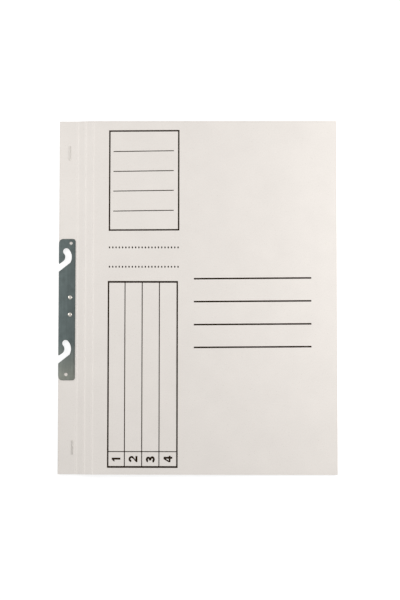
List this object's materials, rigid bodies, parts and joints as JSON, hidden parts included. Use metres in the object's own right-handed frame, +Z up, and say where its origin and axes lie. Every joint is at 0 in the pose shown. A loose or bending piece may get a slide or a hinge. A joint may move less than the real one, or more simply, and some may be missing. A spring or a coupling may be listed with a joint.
{
  "type": "hook-in cardboard file",
  "caption": "Creased cardboard file for A4 papers, with a riveted steel hanging rail whose curved hook slots take binder rings, and a prong fastener under the cover.",
  "frame": {"origin": "middle of the closed file's outline, on the plane it lies on", "axes": "+X from the spine fold to the open edge, +Y up the page to the top edge, +Z up out of the front cover"},
  "size_m": [0.24, 0.305, 0.0037],
  "materials": {
    "cover_board": "matte",
    "carrier_board": "matte",
    "rail_steel": "satin",
    "fastener_steel": "satin",
    "rivet_nickel": "satin",
    "staple_wire": "satin",
    "print_ink": "matte"
  },
  "bodies": {
    "back": {"back_cover": "cover_board", "carrier_strip": "carrier_board", "prong_fastener": "fastener_steel", "compressor_bar": "fastener_steel", "hanging_rail": "rail_steel", "rivet_upper": "rivet_nickel", "rivet_lower": "rivet_nickel", "staple_upper": "staple_wire", "staple_lower": "staple_wire"},
    "spine_1": {"spine_strip_1": "cover_board"},
    "spine_2": {"spine_strip_2": "cover_board"},
    "cover": {"front_cover": "cover_board"},
    "upper_keeper": {"keeper_upper": "fastener_steel"},
    "lower_keeper": {"keeper_lower": "fastener_steel"}
  },
  "joints": [
    {"name": "spine_rise", "type": "hinge", "parent": "back", "child": "spine_1", "pos_m": [-0.104, 0, 0.00185], "axis": [0, -1, 0], "range_deg": [0, 80]},
    {"name": "spine_level", "type": "hinge", "parent": "spine_1", "child": "spine_2", "pos_m": [-0.0972, 0, 0.00305], "axis": [0, -1, 0], "range_deg": [-80, 0]},
    {"name": "cover_fold", "type": "hinge", "parent": "spine_2", "child": "cover", "pos_m": [-0.0904, 0, 0.00375], "axis": [0, -1, 0], "range_deg": [0, 180]},
    {"name": "upper_keeper_slide", "type": "slide", "parent": "back", "child": "upper_keeper", "axis": [0, -1, 0], "range_m": [0, 0.0145]},
    {"name": "lower_keeper_slide", "type": "slide", "parent": "back", "child": "lower_keeper", "axis": [0, 1, 0], "range_m": [0, 0.0145]}
  ],
  "couplings": [
    {"joint": "spine_level", "follows": "spine_rise", "ratio": -1}
  ]
}
